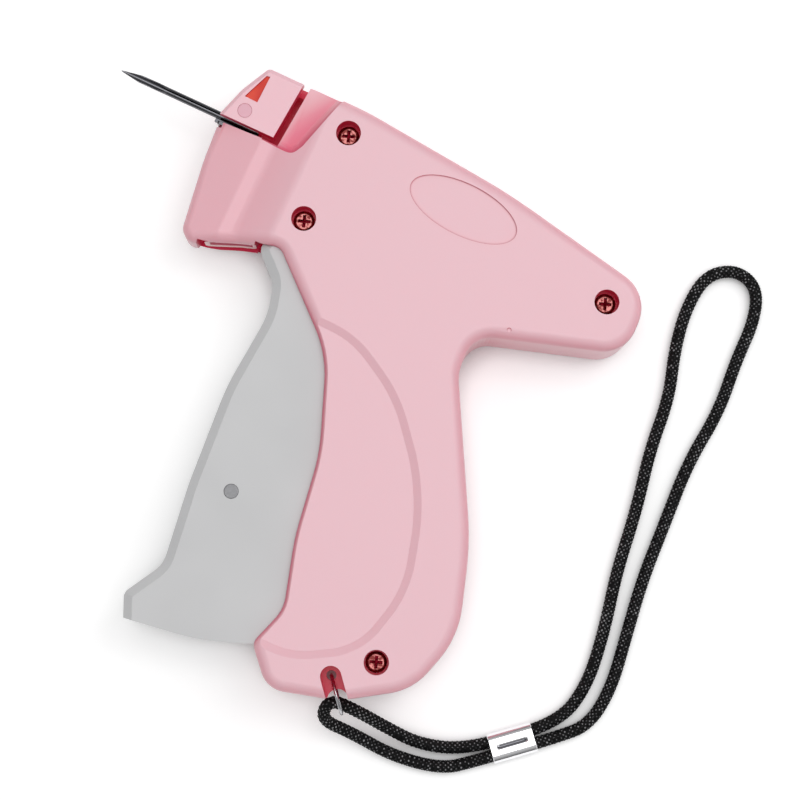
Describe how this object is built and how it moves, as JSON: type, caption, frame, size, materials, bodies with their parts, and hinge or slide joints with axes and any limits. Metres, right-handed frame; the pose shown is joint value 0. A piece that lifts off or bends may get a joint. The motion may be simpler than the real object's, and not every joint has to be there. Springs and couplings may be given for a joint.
{
  "type": "garment tag attacher",
  "caption": "Hand tagging gun: moulded casing, squeeze trigger that pushes a rod through a slotted needle, fastener channel, feed wheel and a corded lanyard.",
  "frame": {"origin": "on the flat right side of the casing, on the axis of the trigger's pivot", "axes": "the tool lies on its right side: +Z leaves its left side, +X runs to the tail (the needle points to -X), +Y is the tool's top and the grip hangs to -Y"},
  "size_m": [0.1853, 0.1567, 0.025],
  "materials": {
    "casing_pink": "satin moulded plastic",
    "block_pink": "satin moulded plastic, a lighter pink",
    "feed_pink": "plain moulded plastic",
    "arrow_orange": "gloss plastic inlay",
    "trigger_grey": "satin moulded plastic",
    "mechanism_white": "plain acetal",
    "steel": "machined steel",
    "screw_steel": "bright plated steel",
    "spring_steel": "drawn spring wire",
    "blade_steel": "ground steel",
    "ferrule_metal": "bright pressed metal",
    "cord_black": "braided cord with grey flecks"
  },
  "bodies": {
    "casing": {"left_shell": "casing_pink", "right_shell": "casing_pink", "case_screws": "screw_steel", "guide_block": "block_pink", "guide_block_pin": "block_pink", "arrow_inlay": "arrow_orange", "needle": "steel", "needle_base": "blade_steel", "cutter_blade": "blade_steel", "feed_guide": "feed_pink", "feed_wheel_axle": "steel", "feed_pawl_pin": "steel", "drive_lever_pin": "steel", "lanyard_ring": "steel", "lanyard_ferrule": "ferrule_metal", "lanyard_short_loop": "cord_black", "lanyard_wrist_loop": "cord_black"},
    "trigger": {"trigger": "trigger_grey", "return_spring_pin": "steel", "return_spring": "spring_steel", "drive_pin": "steel"},
    "drive_lever": {"drive_lever": "mechanism_white"},
    "push_slide": {"push_slide": "mechanism_white", "slide_pin": "steel", "push_rod": "spring_steel"},
    "feed_wheel": {"feed_wheel": "mechanism_white"},
    "feed_pawl": {"feed_pawl": "spring_steel"}
  },
  "joints": [
    {"name": "trigger_pivot", "type": "hinge", "parent": "casing", "child": "trigger", "pos_m": [0, 0, 0.0125], "axis": [0, 0, 1], "range_deg": [0, 17], "stiffness_Nm_per_rad": 1.5, "springref_deg": -17.19, "deforming": ["return_spring"]},
    {"name": "drive_lever_pivot", "type": "hinge", "parent": "casing", "child": "drive_lever", "pos_m": [0.03102, -0.01827, 0.0125], "axis": [0, 0, 1], "range_deg": [0, 58.2]},
    {"name": "push_slide_travel", "type": "slide", "parent": "casing", "child": "push_slide", "axis": [-1, 0, 0], "range_m": [0, 0.03702]},
    {"name": "feed_wheel_spin", "type": "hinge", "parent": "casing", "child": "feed_wheel", "pos_m": [-0.0049, 0.0095, 0.0148], "axis": [0, 0, 1], "continuous": true},
    {"name": "feed_pawl_pivot", "type": "hinge", "parent": "casing", "child": "feed_pawl", "pos_m": [-0.0012, 0.0186, 0.0134], "axis": [0, 0, 1], "range_deg": [-10, 0], "stiffness_Nm_per_rad": 0.01, "springref_deg": 17.19}
  ],
  "couplings": [
    {"joint": "drive_lever_pivot", "follows": "trigger_pivot", "ratio": 3.4207},
    {"joint": "push_slide_travel", "follows": "trigger_pivot", "m_per_rad": 0.1247}
  ]
}
